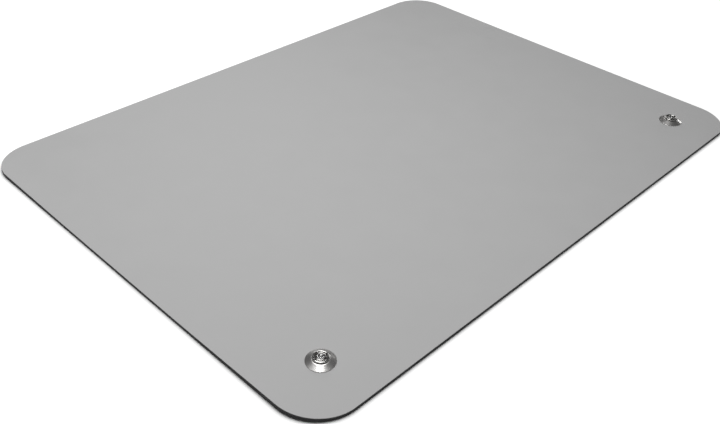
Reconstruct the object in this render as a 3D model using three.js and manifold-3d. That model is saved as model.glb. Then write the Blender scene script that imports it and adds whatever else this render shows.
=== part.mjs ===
// Anti-static bench mat: two layers of rubber, lying flat, with a press stud near each end of one long side.
// Millimetres, +Z up. The origin is on the underside, in the middle of the sheet. X runs along the long side,
// and the studs are on the -Y side.

import * as THREE from "three";
import { mergeVertices } from "three/addons/utils/BufferGeometryUtils.js";
import Module from "manifold-3d";

const wasm = await Module();
wasm.setup();

// The sheet
const matLength = 600;
const matWidth = 450;
const cornerRadius = 38;
const surfaceThickness = 0.6; // grey dissipative rubber on top
const backingThickness = 2.4; // black conductive rubber below it

// Where the studs stand, measured from the cut edges
const studFromEnd = 50;
const studFromSide = 47.5;

// The pressed cup washer under each stud
const washerRadius = 11.5;
const washerHeight = 2.8;
const washerSheet = 0.7;
const washerRimHeight = 0.45;
const washerRimWidth = 1.1;
const washerSeatRadius = 6.8;

// The press stud: a flange with a rolled bead round it and a hollow knob in the middle
const studRadius = 6.3;
const studBeadHeight = 1.7;
const studBeadWidth = 1.5;
const studNeckRadius = 5.5;
const studSheet = 0.6;
const studKnobRadius = 3.7;
const studKnobHeight = 1.6;
const studKnobRound = 0.5;

// The semi-tubular rivet that clinches stud, washer and sheet together
const rivetShankRadius = 2.3;
const rivetBoreRadius = 1.7;
const rivetBoreDepth = 1.6; // measured from the mouth; the shank below is solid
const rivetRimRadius = 2.9;
const rivetRimHeight = 0.6;
const rivetHeadRadius = 6;
const rivetHeadThickness = 0.5;
const rivetHeadSink = 0.1; // the head lies this far above the bench, pressed up into the backing

const fitClearance = 0.3;

// Facets: a quarter of a sheet corner, a full turn of a metal piece, and a rounded edge
const cornerFacets = 14;
const turnFacets = 40;
const edgeFacets = 4;

const sheetTop = backingThickness + surfaceThickness;
const studPlaces = { left: -1, right: 1 };

// The sheet's outline with a round hole for each rivet.
function sheetOutline(holeRadius) {
  const x = matLength / 2;
  const y = matWidth / 2;
  const r = cornerRadius;
  const outline = new THREE.Shape();
  outline.absarc(x - r, y - r, r, 0, Math.PI / 2);
  outline.absarc(-x + r, y - r, r, Math.PI / 2, Math.PI);
  outline.absarc(-x + r, -y + r, r, Math.PI, 1.5 * Math.PI);
  outline.absarc(x - r, -y + r, r, 1.5 * Math.PI, 2 * Math.PI);
  for (const side of Object.values(studPlaces)) {
    const place = studPlace(side);
    const hole = new THREE.Path();
    hole.absarc(place.x, place.y, holeRadius, 0, 2 * Math.PI);
    outline.holes.push(hole);
  }
  return outline;
}

// The middle of a stud on the plan; side is -1 for the left one and 1 for the right one.
function studPlace(side) {
  return new THREE.Vector2(side * (matLength / 2 - studFromEnd), -matWidth / 2 + studFromSide);
}

function extrudedSheet(thickness, holeRadius) {
  return new THREE.ExtrudeGeometry(sheetOutline(holeRadius), {
    depth: thickness,
    bevelEnabled: false,
    curveSegments: cornerFacets,
  });
}

// A profile of [radius, height] points, turned about the Z axis. It closes on itself or ends on the axis.
function turned(profile) {
  const points = profile.map(([radius, height]) => new THREE.Vector2(radius, height));
  if (points[0].x > 0) {
    points.push(points[0].clone());
  }
  return new THREE.LatheGeometry(points, turnFacets).rotateX(Math.PI / 2);
}

// Points of a rounded edge, from startAngle to endAngle in radians about [radius, height].
function roundedEdge(radius, height, size, startAngle, endAngle) {
  return Array.from({ length: edgeFacets + 1 }, (_, i) => {
    const angle = startAngle + ((endAngle - startAngle) * i) / edgeFacets;
    return [radius + size * Math.cos(angle), height + size * Math.sin(angle)];
  });
}

function solidOf(geometry) {
  const bare = geometry.clone().deleteAttribute("normal").deleteAttribute("uv");
  const merged = mergeVertices(bare, 1e-4);
  const { array } = merged.attributes.position;
  return new wasm.Manifold(
    new wasm.Mesh({ numProp: 3, vertProperties: array, triVerts: new Uint32Array(merged.index.array) }),
  );
}

function geometryOf(solid) {
  const { vertProperties, triVerts } = solid.getMesh();
  const geometry = new THREE.BufferGeometry();
  geometry.setAttribute("position", new THREE.BufferAttribute(vertProperties, 3));
  geometry.setIndex(new THREE.BufferAttribute(triVerts, 1));
  const flat = geometry.toNonIndexed();
  flat.computeVertexNormals();
  return flat;
}

// The black backing, with a round pocket in its underside where each rivet head is pressed in.
function backingLayer() {
  let solid = solidOf(extrudedSheet(backingThickness, rivetShankRadius + fitClearance));
  const pocketDepth = rivetHeadSink + rivetHeadThickness;
  const below = 1;
  for (const side of Object.values(studPlaces)) {
    const place = studPlace(side);
    const pocket = new THREE.CylinderGeometry(
      rivetHeadRadius + fitClearance,
      rivetHeadRadius + fitClearance,
      pocketDepth + below,
      turnFacets,
    );
    pocket.rotateX(Math.PI / 2).translate(place.x, place.y, (pocketDepth - below) / 2);
    solid = solid.subtract(solidOf(pocket));
  }
  return geometryOf(solid);
}

function surfaceLayer() {
  return extrudedSheet(surfaceThickness, rivetShankRadius + fitClearance);
}

// A shallow cone of sheet metal, hollow underneath, with a flat rim on the rubber and a flat seat on top.
function cupWasher() {
  const bore = rivetShankRadius + fitClearance;
  const seatUnderside = washerHeight - washerSheet;
  const hollowFoot = washerRadius - washerRimWidth;
  const hollowTop = washerSeatRadius - washerSheet / 2;
  return turned([
    [bore, seatUnderside],
    [hollowTop, seatUnderside],
    [hollowFoot, 0],
    [washerRadius, 0],
    [washerRadius, washerRimHeight],
    [washerSeatRadius, washerHeight],
    [bore, washerHeight],
  ]);
}

// A flange on the washer's seat, a bead rolled up round it, and a knob drawn up in the middle, hollow below.
function pressStud() {
  const bore = rivetShankRadius + fitClearance;
  const bead = studBeadWidth / 2;
  const beadCentre = studRadius - bead;
  const beadMiddle = studBeadHeight - bead;
  const hollowRadius = studKnobRadius - studSheet;
  const hollowHeight = studKnobHeight - studSheet;
  const round = studKnobRound;
  return turned([
    [bore, hollowHeight],
    [hollowRadius, hollowHeight],
    [hollowRadius, 0],
    [studNeckRadius, 0],
    ...roundedEdge(beadCentre, beadMiddle, bead, -Math.PI / 4, Math.PI),
    [beadCentre - bead, studSheet],
    [studKnobRadius, studSheet],
    ...roundedEdge(studKnobRadius - round, studKnobHeight - round, round, 0, Math.PI / 2),
    [bore, studKnobHeight],
  ]);
}

// A shank through everything: a flat head under the sheet, and a hollow mouth rolled over the stud's knob.
function semiTubularRivet() {
  const knobTop = sheetTop + washerHeight + studKnobHeight;
  const rimRound = rivetRimHeight / 2;
  const headTop = rivetHeadSink + rivetHeadThickness;
  const mouth = knobTop + rivetRimHeight;
  return turned([
    [0, rivetHeadSink],
    [rivetHeadRadius, rivetHeadSink],
    [rivetHeadRadius, headTop],
    [rivetShankRadius, headTop],
    [rivetShankRadius, knobTop],
    [rivetRimRadius, knobTop],
    ...roundedEdge(rivetRimRadius - rimRound, knobTop + rimRound, rimRound, 0, Math.PI / 2),
    [rivetBoreRadius, mouth],
    [rivetBoreRadius, mouth - rivetBoreDepth],
    [0, mouth - rivetBoreDepth],
  ]);
}

const greyRubber = new THREE.MeshStandardMaterial({ color: 0xa9a9a9, roughness: 0.75, metalness: 0 });
const blackRubber = new THREE.MeshStandardMaterial({ color: 0x1c1c1d, roughness: 0.8, metalness: 0 });
const nickelPlate = new THREE.MeshStandardMaterial({ color: 0xc9c8c4, roughness: 0.22, metalness: 1 });
const tinnedSteel = new THREE.MeshStandardMaterial({ color: 0xb9b9b7, roughness: 0.3, metalness: 1 });

function piece(name, geometry, material, x, y, z) {
  const mesh = new THREE.Mesh(geometry, material);
  mesh.name = name;
  mesh.position.set(x, y, z);
  return mesh;
}

const mat = new THREE.Group();
mat.add(piece("backing_layer", backingLayer(), blackRubber, 0, 0, 0));
mat.add(piece("surface_layer", surfaceLayer(), greyRubber, 0, 0, backingThickness));
for (const [hand, side] of Object.entries(studPlaces)) {
  const { x, y } = studPlace(side);
  mat.add(piece(`cup_washer_${hand}`, cupWasher(), nickelPlate, x, y, sheetTop));
  mat.add(piece(`press_stud_${hand}`, pressStud(), nickelPlate, x, y, sheetTop + washerHeight));
  mat.add(piece(`rivet_${hand}`, semiTubularRivet(), tinnedSteel, x, y, 0));
}

export default mat;
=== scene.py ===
import math

import bmesh
import bpy
import numpy as np
from mathutils import Matrix, Vector


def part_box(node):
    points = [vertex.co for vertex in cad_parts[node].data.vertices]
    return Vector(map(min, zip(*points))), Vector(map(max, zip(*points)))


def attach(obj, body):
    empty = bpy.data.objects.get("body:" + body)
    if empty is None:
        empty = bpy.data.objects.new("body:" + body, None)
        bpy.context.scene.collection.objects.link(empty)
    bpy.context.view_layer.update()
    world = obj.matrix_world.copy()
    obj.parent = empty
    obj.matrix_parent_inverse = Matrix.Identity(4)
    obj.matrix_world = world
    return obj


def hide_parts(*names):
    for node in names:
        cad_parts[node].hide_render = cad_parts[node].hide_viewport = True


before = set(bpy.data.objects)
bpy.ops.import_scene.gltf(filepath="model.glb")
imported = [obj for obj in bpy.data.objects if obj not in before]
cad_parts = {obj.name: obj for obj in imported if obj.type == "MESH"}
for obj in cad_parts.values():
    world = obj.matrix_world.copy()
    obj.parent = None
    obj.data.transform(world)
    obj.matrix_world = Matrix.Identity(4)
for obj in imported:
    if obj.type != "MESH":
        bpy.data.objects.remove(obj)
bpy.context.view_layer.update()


# The sheet. A thin face of grey dissipative rubber is vulcanised to a thicker backing of black conductive
# rubber, and one die cuts both, so their edges are flush. The corners spring up a little off the bench.
grey_low, grey_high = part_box("surface_layer")
black_low, black_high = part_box("backing_layer")
HALF_LENGTH = grey_high.x
HALF_WIDTH = grey_high.y
CORNER_RADIUS = 0.038
CORNER_CELLS = 16
MIDDLE_CELL = 0.0075
EDGE_CELL = 0.012   # width of the outermost row of cells, as a share of the corner radius
FACE_EDGE_ROUND = 0.00018   # the die leaves the grey face with a crisp edge
FOOT_EDGE_ROUND = 0.0005   # and drags the black underside in a little more
BOND_GROOVE = 0.00003   # the line that shows where the two rubbers meet
LIFTS = {(-1, -1): 0.0020, (-1, 1): 0.0012, (1, -1): 0.0002, (1, 1): 0.0004}   # of the corners, by side
LIFT_REACH = (0.045, 0.170)   # how far in from the edges, along X and Y, the curl begins
ROUND_STEPS = 5


def stations(half, radius):
    """Grid lines across one side, from -half to half: close together in the two corner squares, with one thin
    cell at each end, and evenly spaced between them."""
    corner = np.append(np.linspace(0, 1 - EDGE_CELL, CORNER_CELLS), 1) * radius + half - radius
    middle = np.linspace(radius - half, half - radius, round(2 * (half - radius) / MIDDLE_CELL))
    return np.concatenate([-corner[::-1], middle[1:-1], corner])


def rounded_rectangle(x, y, radius, inset):
    """Moves points (x, y) of the full rectangle onto one with round corners, then inwards by inset. In a
    corner square a point p, q (each 0 to 1 of the radius) goes to p sqrt(1 - q^2 / 2), q sqrt(1 - p^2 / 2),
    which lays the square on a quarter of a disc."""
    straight_x, straight_y = HALF_LENGTH - radius, HALF_WIDTH - radius
    p = np.maximum(np.abs(x) - straight_x, 0) / radius
    q = np.maximum(np.abs(y) - straight_y, 0) / radius
    disc_x = p * np.sqrt(1 - q**2 / 2) * (radius - inset)
    disc_y = q * np.sqrt(1 - p**2 / 2) * (radius - inset)
    return (
        np.sign(x) * (np.minimum(np.abs(x), straight_x) + disc_x),
        np.sign(y) * (np.minimum(np.abs(y), straight_y) + disc_y),
    )


def corner_lift(x, y):
    """Height of the curled corners: each corner's lift times the square of a ramp t along X times the
    smoothstep t^2 (3 - 2 t) of one along Y. A ramp rises from 0 at LIFT_REACH inside an edge to 1 at it."""
    ramp_x = np.clip((np.abs(x) - HALF_LENGTH) / LIFT_REACH[0] + 1, 0, 1)
    ramp_y = np.clip((np.abs(y) - HALF_WIDTH) / LIFT_REACH[1] + 1, 0, 1)
    lift = sum(height * (np.sign(x) == side[0]) * (np.sign(y) == side[1]) for side, height in LIFTS.items())
    return lift * ramp_x**2 * ramp_y**2 * (3 - 2 * ramp_y)


def mesh_object(name, points, quads):
    """A smooth-shaded mesh object at the origin, from an array of points and one of four-cornered faces."""
    mesh = bpy.data.meshes.new(name)
    mesh.vertices.add(len(points))
    mesh.vertices.foreach_set("co", points.astype(np.float32).ravel())
    mesh.loops.add(quads.size)
    mesh.loops.foreach_set("vertex_index", quads.astype(np.int32).ravel())
    mesh.polygons.add(len(quads))
    mesh.polygons.foreach_set("loop_start", np.arange(0, quads.size, 4, dtype=np.int32))
    mesh.polygons.foreach_set("use_smooth", np.ones(len(quads), dtype=bool))
    mesh.update(calc_edges=True)
    piece = bpy.data.objects.new(name, mesh)
    bpy.context.scene.collection.objects.link(piece)
    return piece


def rubber_sheet(name, edge):
    """A closed sheet. Its edge is a list of (inset, height) from the top face to the bottom one. The two
    faces are grids over the rounded rectangle, and the edge is the grid's border repeated at each inset and
    height."""
    across_x, across_y = stations(HALF_LENGTH, CORNER_RADIUS), stations(HALF_WIDTH, CORNER_RADIUS)
    columns, rows = len(across_x), len(across_y)
    flat_x, flat_y = (a.ravel() for a in np.meshgrid(across_x, across_y))
    number = np.arange(columns * rows).reshape(rows, columns)
    border = np.concatenate([number[0, :-1], number[:-1, -1], number[-1, :0:-1], number[:0:-1, 0]])

    def layer(inset, height, which=slice(None)):
        x, y = rounded_rectangle(flat_x[which], flat_y[which], CORNER_RADIUS, inset)
        return np.column_stack([x, y, height + corner_lift(x, y)])

    rings = [layer(inset, height, border) for inset, height in edge[1:-1]]
    points = np.concatenate([layer(*edge[0]), *rings, layer(*edge[-1])])
    below = columns * rows + len(border) * len(rings)
    loops = [border]
    loops += [columns * rows + len(border) * k + np.arange(len(border)) for k in range(len(rings))]
    loops += [below + border]
    face = np.stack([number[:-1, :-1], number[:-1, 1:], number[1:, 1:], number[1:, :-1]], -1).reshape(-1, 4)
    wall = [
        np.column_stack([upper, lower, np.roll(lower, -1), np.roll(upper, -1)])
        for upper, lower in zip(loops, loops[1:])
    ]
    return mesh_object(name, points, np.concatenate([face, *wall, below + face[:, ::-1]]))


def quarter_round(radius, steps, turn):
    """(across, down) of a quarter circle from its top to its side, or with turn from its side to its foot."""
    angle = np.linspace(0, math.pi / 2, steps)
    if turn:
        return radius * (1 - np.cos(angle)), radius * np.sin(angle)
    return radius * (1 - np.sin(angle)), radius * (1 - np.cos(angle))


face_in, face_down = quarter_round(FACE_EDGE_ROUND, ROUND_STEPS, False)
foot_in, foot_down = quarter_round(FOOT_EDGE_ROUND, ROUND_STEPS, True)
grey_edge = [*zip(face_in, grey_high.z - face_down), (0, grey_low.z + BOND_GROOVE), (BOND_GROOVE, grey_low.z)]
black_edge = [
    (BOND_GROOVE, black_high.z),
    (0, black_high.z - BOND_GROOVE),
    (0, (black_high.z + black_low.z) / 2),
    *zip(foot_in, black_low.z + FOOT_EDGE_ROUND - foot_down),
]
grey_face = rubber_sheet("grey_face", grey_edge)
black_backing = rubber_sheet("black_backing", black_edge)


POLE_WELD = 1e-7   # points closer than this on the axis become one


def turned(name, profile, centre, turns, poles=False, press=None):
    """A profile of (radius, height) carried round a vertical axis: x, y = centre + radius (cos a, sin a) for
    a full turn of a. It closes on itself, or with poles starts and ends on the axis. press changes radius and
    height as a goes round. UV: u is the share of the turn, v is the length along the profile in metres."""
    profile = np.asarray(profile, float)
    count = len(profile)
    angle = np.linspace(0, 2 * math.pi, turns, endpoint=False)[:, None]
    radius, height = profile[:, 0], profile[:, 1]
    if press:
        radius, height = press(angle, radius, height)
    radius, height = np.broadcast_to(radius, (turns, count)), np.broadcast_to(height, (turns, count))
    points = np.stack([radius * np.cos(angle), radius * np.sin(angle), height], -1) + np.array(centre)
    turn, step = (a.ravel() for a in np.meshgrid(np.arange(turns), np.arange(count - poles), indexing="ij"))
    corners = np.array([[0, 0], [1, 0], [1, 1], [0, 1]])
    turn_at, step_at = turn[:, None] + corners[:, 0], step[:, None] + corners[:, 1]
    piece = mesh_object(name, points.reshape(-1, 3), (turn_at % turns) * count + step_at % count)
    lengths = np.linalg.norm(np.diff(np.vstack([profile, profile[:1]]), axis=0), axis=1)
    along = np.concatenate([[0], np.cumsum(lengths)])
    uv = np.stack([turn_at / turns, along[step_at]], -1)
    piece.data.uv_layers.new(name="UVMap").data.foreach_set("uv", uv.astype(np.float32).ravel())
    if poles:
        welded = bmesh.new()
        welded.from_mesh(piece.data)
        bmesh.ops.remove_doubles(welded, verts=welded.verts, dist=POLE_WELD)
        welded.to_mesh(piece.data)
        welded.free()
    return piece


# The holes in both rubbers. Each rivet passes through in a round hole with a little play, and its flat head
# lies in a pocket pressed into the underside.
SIDES = ("left", "right")
SHANK_RADIUS = 0.0023
HOLE_CLEARANCE = 0.0003
HOLE_RADIUS = SHANK_RADIUS + HOLE_CLEARANCE
HOLE_FACETS = 64
POCKET_DEPTH = 0.0006
BEYOND = 0.002   # how far the cutting tool reaches past each face


def stud_centre(side):
    """The middle of the left or right stud on the plan, taken from its washer."""
    low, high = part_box("cup_washer_" + side)
    return (low.x + high.x) / 2, (low.y + high.y) / 2


def cut_rivet_hole(sheet, side):
    """Cuts one rivet's hole and head pocket out of a rubber sheet, with a stepped tool."""
    low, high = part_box("rivet_" + side)
    pocket_radius = (high.x - low.x) / 2 + HOLE_CLEARANCE
    profile = [
        (0, black_low.z - BEYOND),
        (pocket_radius, black_low.z - BEYOND),
        (pocket_radius, black_low.z + POCKET_DEPTH),
        (HOLE_RADIUS, black_low.z + POCKET_DEPTH),
        (HOLE_RADIUS, grey_high.z + BEYOND),
        (0, grey_high.z + BEYOND),
    ]
    cutter = turned("cutter", profile, (*stud_centre(side), 0), HOLE_FACETS, poles=True)
    cut = sheet.modifiers.new("hole", "BOOLEAN")
    cut.operation = "DIFFERENCE"
    cut.solver = "EXACT"
    cut.object = cutter
    graph = bpy.context.evaluated_depsgraph_get()
    finished = bpy.data.meshes.new_from_object(sheet.evaluated_get(graph))
    sheet.modifiers.clear()
    sheet.data = finished
    bpy.data.objects.remove(cutter)


for sheet in (grey_face, black_backing):
    for side in SIDES:
        cut_rivet_hole(sheet, side)


def shader_node(tree, kind, values=None, **settings):
    """A node of a shader tree with its settings and the values of its input sockets, by name or number."""
    made = tree.nodes.new("ShaderNode" + kind)
    for key, value in settings.items():
        setattr(made, key, value)
    for key, value in (values or {}).items():
        made.inputs[key].default_value = value
    return made


def effect_group(name, inputs, outputs):
    """An empty shader group with named number inputs, each with a default, and named number outputs."""
    tree = bpy.data.node_groups.new(name, "ShaderNodeTree")
    for label, default in inputs.items():
        socket = tree.interface.new_socket(label, in_out="INPUT", socket_type="NodeSocketFloat")
        socket.default_value = default
    for label in outputs:
        tree.interface.new_socket(label, in_out="OUTPUT", socket_type="NodeSocketFloat")
    return tree, tree.nodes.new("NodeGroupInput"), tree.nodes.new("NodeGroupOutput")


def rubber_grain_group():
    """Matte rubber: Height is a fine pebble grain of the given size, Mottle a slow cloudiness from 0 to 1."""
    defaults = {"Grains per metre": 2500, "Clouds per metre": 30}
    tree, given, out = effect_group("rubber_grain", defaults, ("Height", "Mottle"))
    place = shader_node(tree, "TexCoord")
    grain = shader_node(tree, "TexNoise", {"Detail": 3, "Roughness": 0.6})
    pebble = shader_node(tree, "TexVoronoi", {"Randomness": 1.0}, feature="SMOOTH_F1")
    blend = shader_node(tree, "Math", {1: 0.6}, operation="MULTIPLY_ADD")
    clouds = shader_node(tree, "TexNoise", {"Detail": 4, "Roughness": 0.55})
    for texture in (grain, pebble, clouds):
        tree.links.new(place.outputs["Object"], texture.inputs["Vector"])
    tree.links.new(given.outputs["Grains per metre"], grain.inputs["Scale"])
    tree.links.new(given.outputs["Grains per metre"], pebble.inputs["Scale"])
    tree.links.new(given.outputs["Clouds per metre"], clouds.inputs["Scale"])
    tree.links.new(pebble.outputs["Distance"], blend.inputs[0])
    tree.links.new(grain.outputs["Fac"], blend.inputs[2])
    tree.links.new(blend.outputs[0], out.inputs["Height"])
    tree.links.new(clouds.outputs["Fac"], out.inputs["Mottle"])
    return tree


RUBBER_GRAIN = rubber_grain_group()


def colour_between(tree, factor, dark, light, low=0.3, high=0.7):
    """A colour ramp from dark to light as factor goes from low to high."""
    ramp = shader_node(tree, "ValToRGB")
    ramp.color_ramp.elements[0].position, ramp.color_ramp.elements[0].color = low, (*dark, 1)
    ramp.color_ramp.elements[1].position, ramp.color_ramp.elements[1].color = high, (*light, 1)
    tree.links.new(factor, ramp.inputs["Fac"])
    return ramp.outputs["Color"]


def value_between(tree, factor, start, end, low=0.3, high=0.7):
    """A number from start to end as factor goes from low to high."""
    limits = {"From Min": low, "From Max": high, "To Min": start, "To Max": end}
    spread = shader_node(tree, "MapRange", limits)
    tree.links.new(factor, spread.inputs["Value"])
    return spread.outputs["Result"]


def new_material(name):
    """A material, its node tree and its Principled shader."""
    material = bpy.data.materials.new(name)
    material.use_nodes = True
    return material, material.node_tree, material.node_tree.nodes["Principled BSDF"]


def grain_of_size(tree, size):
    """The rubber grain in a material's tree, with its grains and clouds as many to the metre as size says."""
    grain = shader_node(tree, "Group", node_tree=RUBBER_GRAIN)
    for label, value in size.items():
        grain.inputs[label].default_value = value
    return grain


def grey_rubber():
    """Matte grey face: a fine pebble grain and slow clouds in the tone. The cut edge, where the normal is
    level, is painted darker: painted shade for the edge that stands in shadow."""
    material, tree, shader = new_material("grey_rubber")
    size = {"Grains per metre": 1700, "Clouds per metre": 28}
    grain = grain_of_size(tree, size)
    facing = shader_node(tree, "NewGeometry")
    upright = shader_node(tree, "SeparateXYZ")
    # painted shade: a dark colour laid on the level cut edge in place of the shade that falls there
    shaded_edge_paint = shader_node(tree, "Mix", {"A": (0.12, 0.12, 0.12, 1)}, data_type="RGBA")
    tone = colour_between(tree, grain.outputs["Mottle"], (0.425, 0.425, 0.425), (0.437, 0.437, 0.437))
    bump = shader_node(tree, "Bump", {"Strength": 0.35, "Distance": 0.00006})
    tree.links.new(facing.outputs["Normal"], upright.inputs["Vector"])
    tree.links.new(value_between(tree, upright.outputs["Z"], 0, 1, 0.2, 0.8), shaded_edge_paint.inputs["Factor"])
    tree.links.new(tone, shaded_edge_paint.inputs["B"])
    tree.links.new(shaded_edge_paint.outputs["Result"], shader.inputs["Base Color"])
    tree.links.new(value_between(tree, grain.outputs["Mottle"], 0.62, 0.78), shader.inputs["Roughness"])
    tree.links.new(grain.outputs["Height"], bump.inputs["Height"])
    tree.links.new(bump.outputs["Normal"], shader.inputs["Normal"])
    shader.inputs["Specular IOR Level"].default_value = 0.3
    return material


def black_rubber():
    """Black backing: a coarser matte grain underneath, and upright drag lines from the die on the edge."""
    material, tree, shader = new_material("black_rubber")
    size = {"Grains per metre": 1200, "Clouds per metre": 60}
    grain = grain_of_size(tree, size)
    place = shader_node(tree, "TexCoord")
    stretch = shader_node(tree, "Mapping", {"Scale": (1, 1, 0.06)})
    drag = shader_node(tree, "TexNoise", {"Scale": 2600, "Detail": 2})
    facing = shader_node(tree, "NewGeometry")
    upright = shader_node(tree, "SeparateXYZ")
    flat = shader_node(tree, "Math", operation="ABSOLUTE")
    choose = shader_node(tree, "Mix", data_type="FLOAT")
    tone = colour_between(tree, grain.outputs["Mottle"], (0.010, 0.010, 0.011), (0.018, 0.018, 0.019))
    bump = shader_node(tree, "Bump", {"Strength": 0.5, "Distance": 0.00008})
    tree.links.new(place.outputs["Object"], stretch.inputs["Vector"])
    tree.links.new(stretch.outputs["Vector"], drag.inputs["Vector"])
    tree.links.new(facing.outputs["Normal"], upright.inputs["Vector"])
    tree.links.new(upright.outputs["Z"], flat.inputs[0])
    tree.links.new(flat.outputs[0], choose.inputs["Factor"])
    tree.links.new(drag.outputs["Fac"], choose.inputs["A"])
    tree.links.new(grain.outputs["Height"], choose.inputs["B"])
    tree.links.new(tone, shader.inputs["Base Color"])
    tree.links.new(value_between(tree, grain.outputs["Mottle"], 0.55, 0.75), shader.inputs["Roughness"])
    tree.links.new(choose.outputs["Result"], bump.inputs["Height"])
    tree.links.new(bump.outputs["Normal"], shader.inputs["Normal"])
    shader.inputs["Specular IOR Level"].default_value = 0.3
    return material


def finish_piece(piece, material, node):
    """Gives a piece its material, lets it ride with the mat and stand for its solid."""
    piece.data.materials.clear()
    piece.data.materials.append(material)
    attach(piece, "root")
    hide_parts(node)


finish_piece(grey_face, grey_rubber(), "surface_layer")
finish_piece(black_backing, black_rubber(), "backing_layer")


# The cup washers: shallow cones pressed from nickel plated sheet, polished, with a flat foot that bears on
# the grey face and a rounded shoulder under the stud. They lie loose until the rivet clinches them.
SMALLEST_FILLET = 1e-3   # millimetres, for a corner that is left sharp
STRAIGHT_SHARES = (0.04, 0.35, 0.65, 0.96)   # where the points of a straight stretch lie along it


def filleted(corners, poles=False, steps=6):
    """A closed outline of (radius, height, fillet) corners in millimetres, as metres. Each corner becomes an
    arc that touches both of its sides: the tangent points lie fillet / tan(half the corner) from the corner,
    and the centre lies fillet / sin(half the corner) along its bisector. Straight stretches get a few points
    of their own, so that they shade flat. With poles the first and last corners are points on the axis."""
    corners = np.asarray(corners, float)
    point, fillet = corners[:, :2], np.maximum(corners[:, 2], SMALLEST_FILLET)
    back = np.roll(point, 1, 0) - point
    ahead = np.roll(point, -1, 0) - point
    back /= np.linalg.norm(back, axis=1)[:, None]
    ahead /= np.linalg.norm(ahead, axis=1)[:, None]
    half = np.arccos(np.clip((back * ahead).sum(1), -1, 1)) / 2
    bisector = (back + ahead) / np.linalg.norm(back + ahead, axis=1)[:, None]
    centre = point + bisector * (fillet / np.sin(half))[:, None]
    start = point + back * (fillet / np.tan(half))[:, None] - centre
    end = point + ahead * (fillet / np.tan(half))[:, None] - centre
    first = np.arctan2(start[:, 1], start[:, 0])
    sweep = (np.arctan2(end[:, 1], end[:, 0]) - first + math.pi) % (2 * math.pi) - math.pi
    angle = first[:, None] + sweep[:, None] * np.linspace(0, 1, steps)
    arc = centre[:, None] + fillet[:, None, None] * np.stack([np.cos(angle), np.sin(angle)], -1)
    share = np.array(STRAIGHT_SHARES)[:, None]
    straight = arc[:, -1:] * (1 - share) + np.roll(arc[:, :1], -1, 0) * share
    outline = np.concatenate([arc, straight], 1)
    if poles:
        return np.concatenate([point[:1], outline[1:-1].reshape(-1, 2), point[-1:]]) / 1000
    return outline.reshape(-1, 2) / 1000


def span(node):
    """Outer radius, foot and top of a turned solid, in millimetres."""
    low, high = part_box(node)
    return (high.x - low.x) * 500, low.z * 1000, high.z * 1000


METAL_TURNS = 144   # steps round each metal piece
washer_radius, washer_foot, washer_top = span("cup_washer_left")
WASHER_SHEET = 0.7
WASHER_RIM = 0.45
WASHER_RIM_WIDTH = 1.1
WASHER_SEAT = 6.8
WASHER_BORE = 2.6
WASHER_SHOULDER = 1.4
washer_height = washer_top - washer_foot
washer_outline = [
    (WASHER_BORE, washer_height - WASHER_SHEET, 0.08),
    (WASHER_SEAT - WASHER_SHEET / 2, washer_height - WASHER_SHEET, 0.5),
    (washer_radius - WASHER_RIM_WIDTH, 0, 0.1),
    (washer_radius, 0, 0.12),
    (washer_radius, WASHER_RIM, 0.12),
    (WASHER_SEAT, washer_height, WASHER_SHOULDER),
    (WASHER_BORE, washer_height, 0.08),
]


def spin_marks_group():
    """Polished sheet metal: Lines are fine rings left by the polishing wheel, Smudge is a faint film."""
    defaults = {"Rings per metre": 9000, "Smudges per metre": 250}
    tree, given, out = effect_group("spin_marks", defaults, ("Lines", "Smudge"))
    unwrapped = shader_node(tree, "UVMap")
    split = shader_node(tree, "SeparateXYZ")
    rings = shader_node(tree, "TexNoise", {"Detail": 3, "Roughness": 0.7}, noise_dimensions="1D")
    place = shader_node(tree, "TexCoord")
    film = shader_node(tree, "TexNoise", {"Detail": 4, "Roughness": 0.6})
    tree.links.new(unwrapped.outputs["UV"], split.inputs["Vector"])
    tree.links.new(split.outputs["Y"], rings.inputs["W"])
    tree.links.new(given.outputs["Rings per metre"], rings.inputs["Scale"])
    tree.links.new(place.outputs["Object"], film.inputs["Vector"])
    tree.links.new(given.outputs["Smudges per metre"], film.inputs["Scale"])
    tree.links.new(rings.outputs["Fac"], out.inputs["Lines"])
    tree.links.new(film.outputs["Fac"], out.inputs["Smudge"])
    return tree


SPIN_MARKS = spin_marks_group()


def plated_metal(name, dull, bright, roughness, line_depth):
    """Bright plated metal: rings from polishing in the normal, and a film that dulls its colour and takes
    its roughness from the first value to the second."""
    material, tree, shader = new_material(name)
    marks = shader_node(tree, "Group", node_tree=SPIN_MARKS)
    bump = shader_node(tree, "Bump", {"Strength": 0.3, "Distance": line_depth})
    tree.links.new(colour_between(tree, marks.outputs["Smudge"], bright, dull), shader.inputs["Base Color"])
    tree.links.new(value_between(tree, marks.outputs["Smudge"], *roughness), shader.inputs["Roughness"])
    tree.links.new(marks.outputs["Lines"], bump.inputs["Height"])
    tree.links.new(bump.outputs["Normal"], shader.inputs["Normal"])
    shader.inputs["Metallic"].default_value = 1
    return material


satin_nickel = plated_metal(
    "satin_nickel",
    dull=(0.55, 0.54, 0.53),
    bright=(0.66, 0.65, 0.64),
    roughness=(0.26, 0.32),
    line_depth=5e-7,
)
for side in SIDES:
    centre = (*stud_centre(side), washer_foot / 1000)
    washer = turned("washer_" + side, filleted(washer_outline), centre, METAL_TURNS)
    finish_piece(washer, satin_nickel, "cup_washer_" + side)


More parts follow.
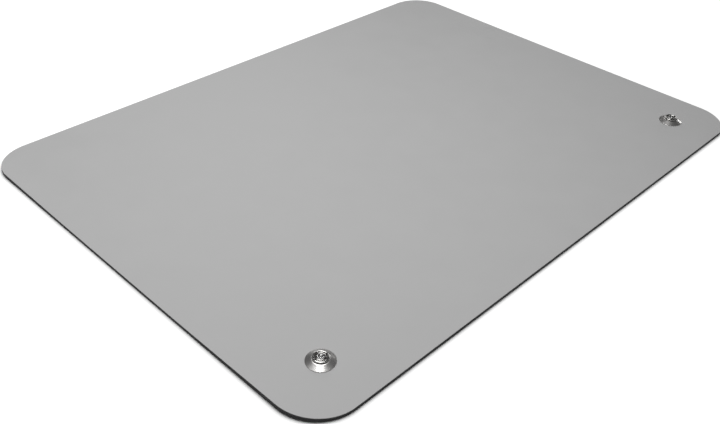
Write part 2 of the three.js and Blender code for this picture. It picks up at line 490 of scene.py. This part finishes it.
# The press studs: pressed from the same plated sheet. A flange sits on the washer, its rim is rolled up into
# a bead that the cord's socket grips, and a hollow knob stands in the middle.
stud_radius, stud_foot, stud_top = span("press_stud_left")
STUD_BORE = 2.6
STUD_NECK = 5.5
STUD_SHEET = 0.6
BEAD_HEIGHT = 1.7
BEAD_WIDTH = 1.5
BEAD_ROUND = 0.7
BEAD_WAIST = 0.51   # height at which the bead reaches its full radius
KNOB_RADIUS = 3.7
knob_height = stud_top - stud_foot
stud_outline = [
    (STUD_BORE, knob_height - STUD_SHEET, 0.06),
    (KNOB_RADIUS - STUD_SHEET, knob_height - STUD_SHEET, 0.25),
    (KNOB_RADIUS - STUD_SHEET, 0, 0.2),
    (STUD_NECK, 0, 0.25),
    (stud_radius, BEAD_WAIST, 0.4),
    (stud_radius, BEAD_HEIGHT, BEAD_ROUND),
    (stud_radius - BEAD_WIDTH, BEAD_HEIGHT, BEAD_ROUND),
    (stud_radius - BEAD_WIDTH, STUD_SHEET, 0.25),
    (KNOB_RADIUS, STUD_SHEET, 0.25),
    (KNOB_RADIUS, knob_height, 0.45),
    (STUD_BORE, knob_height, 0.06),
]
bright_nickel = plated_metal(
    "bright_nickel",
    dull=(0.42, 0.415, 0.405),
    bright=(0.50, 0.495, 0.485),
    roughness=(0.06, 0.12),
    line_depth=2e-7,
)
for side in SIDES:
    centre = (*stud_centre(side), stud_foot / 1000)
    stud = turned("stud_" + side, filleted(stud_outline), centre, METAL_TURNS)
    finish_piece(stud, bright_nickel, "press_stud_" + side)


# The semi-tubular rivets: drawn steel, tin plated. A flat head lies in the underside's pocket, the shank runs
# up through both rubbers, the washer and the stud, and its hollow mouth is split and rolled over the knob.
rivet_radius, rivet_foot, rivet_top = span("rivet_left")
RIVET_BORE = 1.7
RIVET_BORE_DEPTH = 1.6
RIVET_BORE_DOME = 0.5   # height of the bore's domed floor
DOME_SHOULDER = (0.6, 0.7)   # where the dome bends, as shares of the bore's radius and the dome's height
RIVET_SHANK = SHANK_RADIUS * 1000
RIVET_HEAD = 0.5
RIVET_RIM = 2.9
PETALS = 10
PETAL_GAP_DEPTH = 0.45
PETAL_GAP_DROP = 0.12
PETAL_SHARPNESS = 3
rivet_height = rivet_top - rivet_foot
rim_foot = stud_top - rivet_foot
bore_floor = rivet_height - RIVET_BORE_DEPTH
rivet_outline = [
    (0, 0, 0),
    (rivet_radius, 0, 0.2),
    (rivet_radius, RIVET_HEAD, 0.2),
    (RIVET_SHANK, RIVET_HEAD, 0.1),
    (RIVET_SHANK, rim_foot, 0.02),
    (RIVET_RIM, rim_foot, 0.25),
    (RIVET_RIM, rivet_height, 0.3),
    (RIVET_BORE, rivet_height, 0.3),
    (RIVET_BORE, bore_floor, 0.2),
    (RIVET_BORE * DOME_SHOULDER[0], bore_floor + RIVET_BORE_DOME * DOME_SHOULDER[1], 0.8),
    (0, bore_floor + RIVET_BORE_DOME, 0),
]


def crimped(angle, radius, height):
    """The mouth split into petals: outside the bore, a power of a raised cosine pulls the rim in and down."""
    gap = (0.5 + 0.5 * np.cos(PETALS * angle)) ** PETAL_SHARPNESS
    mouth = np.clip((height * 1000 - rim_foot) / (rivet_height - rim_foot), 0, 1)
    reach = np.clip((radius * 1000 - RIVET_BORE) / (RIVET_RIM - RIVET_BORE), 0, 1) * (mouth > 0)
    pull = gap * reach * PETAL_GAP_DEPTH / 1000
    drop = gap * reach * mouth * PETAL_GAP_DROP / 1000
    return radius - pull, height - drop


tin = plated_metal(
    "rivet_steel",
    dull=(0.40, 0.40, 0.40),
    bright=(0.48, 0.48, 0.475),
    roughness=(0.10, 0.18),
    line_depth=4e-7,
)
for side in SIDES:
    outline = filleted(rivet_outline, poles=True)
    centre = (*stud_centre(side), rivet_foot / 1000)
    rivet = turned("rivet_post_" + side, outline, centre, METAL_TURNS, poles=True, press=crimped)
    finish_piece(rivet, tin, "rivet_" + side)


# The stage: a plain, almost white floor that glows beyond the mat's edge, its glow dimmed close to the edge
# as a painted contact shadow, a large soft light overhead, small ones at the right and behind, which draw the
# bright patches on the metal, and a dim surround.
FLOOR_HALF = 8.0
FLOOR_TONE = 0.65
FLOOR_ROUGHNESS = 0.9
# the glow starts dark at the mat's edge and brightens outwards: a painted contact shadow on the floor
FLOOR_GLOW_AND_PAINTED_SHADOW = ((0, 0.0), (0.0006, 0.55), (0.60, 1.0))   # distance from the mat in metres, and how bright
KEY_PLACE, KEY_SIZE, KEY_POWER = (-0.18, 0.05, 1.00), (0.54, 0.72), 9.6
FILL_PLACE, FILL_SIZE, FILL_POWER = (0.99, 0.361, 0.66), (0.24, 0.30), 0.9
PANEL_PLACE, PANEL_SIZE, PANEL_POWER = (1.50, -0.17, 0.36), (0.36, 0.24), 1.0
BACK_PLACE, BACK_SIZE, BACK_POWER = (0.53, 0.97, 0.47), (0.36, 0.28), 1.4
SURROUND = 0.11
floor_corners = np.array([[-1, -1, 0], [1, -1, 0], [1, 1, 0], [-1, 1, 0]]) * FLOOR_HALF
floor = mesh_object("floor", floor_corners, np.array([[0, 1, 2, 3]]))
floor_material, floor_tree, floor_shader = new_material("pale_floor")
floor_shader.inputs["Base Color"].default_value = (FLOOR_TONE, FLOOR_TONE, FLOOR_TONE, 1)
floor_shader.inputs["Roughness"].default_value = FLOOR_ROUGHNESS
floor_shader.inputs["Specular IOR Level"].default_value = 0
floor_place = shader_node(floor_tree, "TexCoord")
floor_folded = shader_node(floor_tree, "VectorMath", operation="ABSOLUTE")
floor_straight = (HALF_LENGTH - CORNER_RADIUS, HALF_WIDTH - CORNER_RADIUS, 0)
floor_beyond = shader_node(floor_tree, "VectorMath", {1: floor_straight}, operation="SUBTRACT")
floor_outside = shader_node(floor_tree, "VectorMath", {1: (0, 0, 0)}, operation="MAXIMUM")
floor_distance = shader_node(floor_tree, "VectorMath", operation="LENGTH")
floor_clear = shader_node(floor_tree, "Math", {1: CORNER_RADIUS}, operation="SUBTRACT")
floor_glow_shadow_ramp = shader_node(floor_tree, "ValToRGB")
floor_glow_shadow_ramp.color_ramp.elements.new(FLOOR_GLOW_AND_PAINTED_SHADOW[1][0])
for stop, (distance, glow) in zip(floor_glow_shadow_ramp.color_ramp.elements, FLOOR_GLOW_AND_PAINTED_SHADOW):
    stop.position, stop.color = distance, (glow, glow, glow, 1)
floor_tree.links.new(floor_place.outputs["Object"], floor_folded.inputs[0])
floor_tree.links.new(floor_folded.outputs["Vector"], floor_beyond.inputs[0])
floor_tree.links.new(floor_beyond.outputs["Vector"], floor_outside.inputs[0])
floor_tree.links.new(floor_outside.outputs["Vector"], floor_distance.inputs[0])
floor_tree.links.new(floor_distance.outputs["Value"], floor_clear.inputs[0])
floor_tree.links.new(floor_clear.outputs["Value"], floor_glow_shadow_ramp.inputs["Fac"])
# painted shadow: the emission ramp darkens the floor right next to the mat
floor_tree.links.new(floor_glow_shadow_ramp.outputs["Color"], floor_shader.inputs["Emission Color"])
floor_shader.inputs["Emission Strength"].default_value = 1
floor.data.materials.append(floor_material)


def soft_light(name, place, size, power, aim):
    """A rectangular area light at place, turned to face aim."""
    lamp = bpy.data.lights.new(name, "AREA")
    lamp.shape = "RECTANGLE"
    lamp.size, lamp.size_y = size
    lamp.energy = power
    holder = bpy.data.objects.new(name, lamp)
    holder.location = place
    holder.rotation_euler = (Vector(aim) - holder.location).to_track_quat("-Z", "Y").to_euler()
    bpy.context.scene.collection.objects.link(holder)


soft_light("key_light", KEY_PLACE, KEY_SIZE, KEY_POWER, (KEY_PLACE[0], KEY_PLACE[1], 0))
soft_light("panel_light", PANEL_PLACE, PANEL_SIZE, PANEL_POWER, (0, PANEL_PLACE[1], PANEL_PLACE[2]))
soft_light("fill_light", FILL_PLACE, FILL_SIZE, FILL_POWER, (*stud_centre("left"), 0))
soft_light("back_light", BACK_PLACE, BACK_SIZE, BACK_POWER, (*stud_centre("left"), 0))
world = bpy.data.worlds.new("surround")
world.use_nodes = True
world.node_tree.nodes["Background"].inputs["Color"].default_value = (SURROUND, SURROUND, SURROUND, 1)
bpy.context.scene.world = world
bpy.context.scene.view_settings.view_transform = "Standard"


# The camera stands beyond the near left corner and looks down across the mat, as in the photograph. Its
# picture is shifted a little sideways.
CAMERA_PLACE = (-0.5429, -0.4921, 0.4483)
CAMERA_RIGHT = (0.70103, -0.71237, 0.03294)
CAMERA_UP = (0.40210, 0.43300, 0.80674)
CAMERA_LENS = 43.04
SENSOR_WIDTH = 36.0
CAMERA_SHIFT = -0.01111
camera = bpy.data.objects.new("camera", bpy.data.cameras.new("camera"))
right, up = Vector(CAMERA_RIGHT).normalized(), Vector(CAMERA_UP).normalized()
turned_to_view = Matrix((right, up, right.cross(up))).transposed().to_4x4()
camera.matrix_world = Matrix.Translation(CAMERA_PLACE) @ turned_to_view
camera.data.lens = CAMERA_LENS
camera.data.sensor_width = SENSOR_WIDTH
camera.data.shift_x = CAMERA_SHIFT
bpy.context.scene.collection.objects.link(camera)
bpy.context.scene.camera = camera
